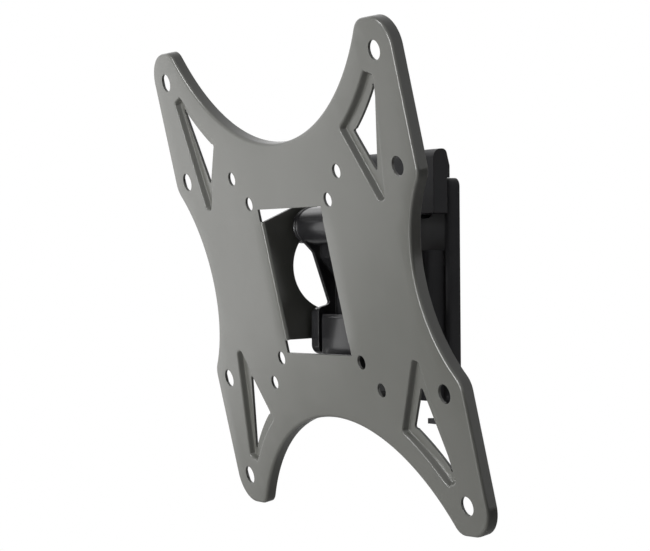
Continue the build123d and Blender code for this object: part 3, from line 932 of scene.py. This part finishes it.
fold = window_x - ear_x
root_height = front_height(window_x, 0)
ear_start = fold - root_height
flare_angle = atan2(ear_flare, ear_deep)
flare_turn = 90 + degrees(flare_angle)
corner_y = ear_root + ear_flare / ear_deep * tip_deep - tip_round / cos(flare_angle)

ear_loop = [(ear_start, -y) for y in root_steps]
ear_loop += arc_points((tip_deep, corner_y), tip_round, flare_turn, 0, fine_step)
ear_loop += arc_points((tip_deep, tip_y), tip_round, 0, tip_to_bite, fine_step)
ear_loop += arc_points((bite_deep, 0), bite_round, bite_from, bite_to, fine_step)
ear_loop += arc_points((tip_deep, -corner_y), tip_round, 0, -flare_turn, fine_step)
ear_loop = without_repeats(ear_loop)


def on_ear(deep, y):
    """True on the ear and outside its bolt hole."""
    in_outline = distance_inside(ear_loop, deep, y) > 0
    return in_outline and hypot(deep - tip_deep, y - tip_y) > bolt_hole


ear_points, ear_faces = fill([ear_loop, ring((tip_deep, tip_y), bolt_hole)], [], on_ear)
print("one ear:", len(ear_points), "points", len(ear_faces), "triangles")

# %% [markdown]
# Each ear hangs from its side of the window by a small fold. The fold is rows of points again, and
# the sheet grows thicker along it, from the fine sheet of the face to the full sheet of the ear.

# %% Ears folded back
for side in (1, -1):
    index = [add_point(side * ear_x, y, -deep, -side, 0, 0, ear_sheet) for deep, y in ear_points]
    sheet_faces += [[index[i] for i in face] for face in ear_faces]
    fold_rows = [[nearest_index(side * window_x, y) for y in root_steps]]
    for k in range(1, bend_parts):
        turn = k / bend_parts * pi / 2
        x = side * (window_x - fold * sin(turn))
        z = root_height - fold * (1 - cos(turn))
        way = (-side * sin(turn), 0, cos(turn))
        thickness = sheet + (ear_sheet - sheet) * k / bend_parts
        fold_rows.append([add_point(x, y, z, *way, thickness) for y in root_steps])
    top_edge = []
    for y in root_steps:
        top_edge.append(min(index, key=lambda i: hypot(points[i].y - y, points[i].z + ear_start)))
    fold_rows.append(top_edge)
    join_rows(fold_rows, closed=False)
print("sheet:", len(points), "points", len(sheet_faces), "faces")

# %% [markdown]
# Thickness is added last. Every point gets a twin behind it, and every open edge is closed with a
# narrow face between the two skins, which gives the holes and cut-outs their thin walls. An edge is
# open when only one face runs along it. A Solidify modifier would do the same with one thickness
# for all.

# %% Thickness
def turned(face):
    """The face wound so that it faces the way its points do."""
    a, b, c = (points[i] for i in face[:3])
    way = sum((facing[i] for i in face), Vector())
    return face if (b - a).cross(c - a).dot(way) > 0 else face[::-1]


sheet_faces = [turned(face) for face in sheet_faces]
count = len(points)
backs = [p - n * t for p, n, t in zip(points, facing, thick)]
face_sides = {}
for face in sheet_faces:
    for a, b in zip(face, face[1:] + face[:1]):
        face_sides[(a, b)] = True
open_edges = [(a, b) for a, b in face_sides if (b, a) not in face_sides]
solid_faces = sheet_faces + [[i + count for i in reversed(face)] for face in sheet_faces]
solid_faces += [[b, a, a + count, b + count] for a, b in open_edges]
print("open edges closed:", len(open_edges))

# %% [markdown]
# The plate has been drawn flat to its own axes, so each point is carried to its place on the leaning
# plate. Corners sharper than forty degrees stay sharp in the shading, and the rest is smooth. The
# piece moves with the screen side and stands in for the solid of the same plate.

# %% The finished plate
sharp_angle = radians(40)


def on_mount(p):
    """A point of the plate in the frame of the whole mount, in metres."""
    return (plate_middle + Vector((p.x, 0, 0)) + plate_up * p.y + plate_out * p.z) * MM


plate_mesh = bpy.data.meshes.new("pressed_plate")
plate_mesh.from_pydata([on_mount(p) for p in points + backs], [], solid_faces)
plate_mesh.validate()
fixer = bmesh.new()
fixer.from_mesh(plate_mesh)
loose = [v for v in fixer.verts if not v.link_faces]
bmesh.ops.delete(fixer, geom=loose, context="VERTS")
bmesh.ops.recalc_face_normals(fixer, faces=fixer.faces)
fixer.to_mesh(plate_mesh)
fixer.free()
plate_mesh.shade_smooth()
plate_mesh.set_sharp_from_angle(angle=sharp_angle)
pressed_plate = bpy.data.objects.new("pressed_plate", plate_mesh)
bpy.context.scene.collection.objects.link(pressed_plate)
pressed_plate.data.materials.append(finishes["plate"])
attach(pressed_plate, "screen_side")
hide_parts("screen_plate")
print("pressed plate:", len(plate_mesh.polygons), "faces")

# %% [markdown]
# ## Small castings
#
# A die casting has small rounded ridges and pads that the main solid leaves out. They are separate
# pieces that turn with the knuckle and wear its coat, so one helper finishes them all.

# %% A piece of the casting
def finished_piece(name, mesh):
    """An object from a mesh, smooth, in the casting's coat, on the knuckle."""
    bmesh.ops.recalc_face_normals(mesh, faces=mesh.faces)
    data = bpy.data.meshes.new(name)
    mesh.to_mesh(data)
    mesh.free()
    data.shade_smooth()
    data.materials.append(finishes["casting"])
    piece = bpy.data.objects.new(name, data)
    bpy.context.scene.collection.objects.link(piece)
    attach(piece, "knuckle")
    return piece


print("castings wear", finishes["casting"].name)

# %% [markdown]
# Two ridges run round each end of the barrel, one on its edge and one on the boss beside it. Each
# is a ring with a round section about the tilt axis. Blender has a torus tool, but a ring of own
# loops can be made in place, round the real axis, without a turn or a move.

# %% Ridges round the barrel
tilt_axis_y = -48.1
tilt_axis_z = 30.5
around = 72
across = 16
barrel_ridge = {"x": 21.0, "middle_radius": 8.6, "thickness": 0.85}
boss_ridge = {"x": 24.8, "middle_radius": 7.6, "thickness": 1.1}


def ridge(name, side, x, middle_radius, thickness):
    """A rounded ring about the tilt axis, at one side of the knuckle."""
    mesh = bmesh.new()
    loops = []
    for i in range(around):
        turn = 2 * pi * i / around
        loop = []
        for k in range(across):
            roll = 2 * pi * k / across
            radius = middle_radius + thickness * cos(roll)
            y = tilt_axis_y + radius * cos(turn)
            z = tilt_axis_z + radius * sin(turn)
            loop.append(mesh.verts.new(Vector((side * x + thickness * sin(roll), y, z)) * MM))
        loops.append(loop)
    for i in range(around):
        this = loops[i]
        following = loops[(i + 1) % around]
        for k in range(across):
            n = (k + 1) % across
            mesh.faces.new((this[k], this[n], following[n], following[k]))
    return finished_piece(name, mesh)


ridges = []
for side, word in ((1, "right"), (-1, "left")):
    ridges.append(ridge("barrel_ridge_" + word, side, **barrel_ridge))
    ridges.append(ridge("boss_ridge_" + word, side, **boss_ridge))
print("ridges:", [piece.name for piece in ridges])

# %% [markdown]
# The front of the block is a raised pad. It is a box with all its edges rounded, and the rounding
# catches a thin light on the left and at the foot, which makes the block read as a casting.

# %% Pad on the block
pad_size = Vector((33.6, 1.6, 17.6))
pad_middle = Vector((0, -45.7, -20.9))
pad_edge = 0.7
pad_edge_parts = 4

pad = bmesh.new()
bmesh.ops.create_cube(pad, size=1.0)
for vert in pad.verts:
    vert.co = (vert.co * pad_size + pad_middle) * MM
bmesh.ops.bevel(
    pad,
    geom=pad.edges[:] + pad.verts[:],
    offset=pad_edge * MM,
    segments=pad_edge_parts,
    profile=0.5,
    affect="EDGES",
)
block_pad = finished_piece("block_pad", pad)
block_pad.data.set_sharp_from_angle(angle=sharp_angle)
print("pad faces:", len(block_pad.data.polygons))

# %% [markdown]
# ## Last step
#
# Nothing more is built here; this cell only marks the end of the script.

# %% End
print("end of the scene script")
